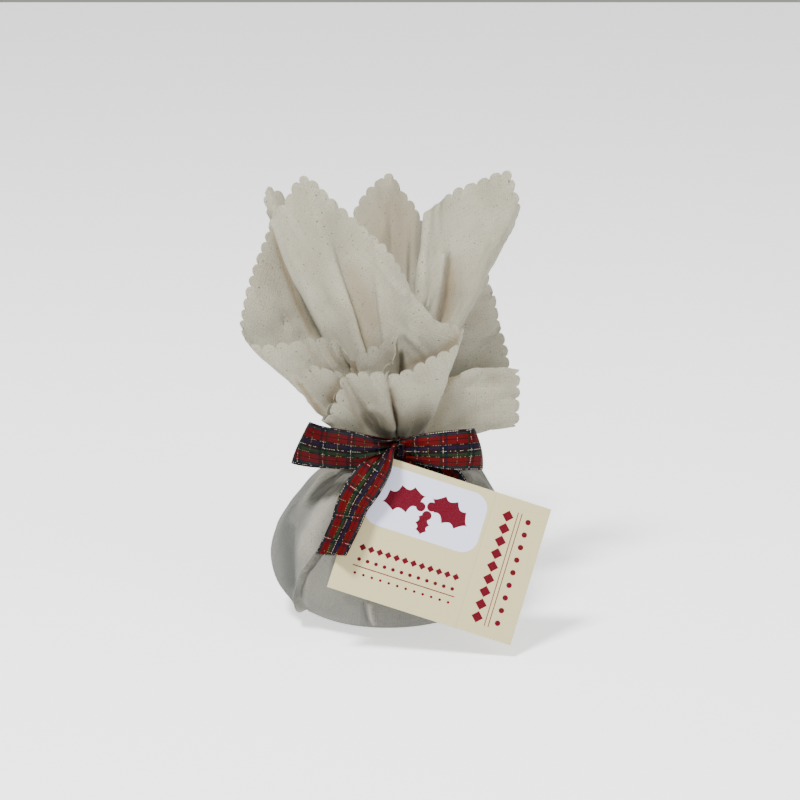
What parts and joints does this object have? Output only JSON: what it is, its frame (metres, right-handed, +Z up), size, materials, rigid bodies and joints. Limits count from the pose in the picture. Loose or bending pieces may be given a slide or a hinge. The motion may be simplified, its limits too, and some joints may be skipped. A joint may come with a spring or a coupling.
{
  "type": "cloth-wrapped Christmas pudding",
  "caption": "Boiled Christmas pudding tied in a pinked calico cloth, with a tartan ribbon bow and a plain gift card leaning on the front.",
  "frame": {"origin": "centre of the flat spot that the pudding stands on", "axes": "+Z up through the tied neck, -Y towards the front where the card leans, +X to the right seen from the front"},
  "size_m": [0.1775, 0.1946, 0.2538],
  "materials": {
    "calico": "matt, unbleached cotton",
    "tartan": "woven tartan with metallic threads",
    "card": "smooth uncoated card"
  },
  "bodies": {
    "root": {"cloth": "calico", "ribbon_bow": "tartan", "card": "card"}
  },
  "joints": []
}
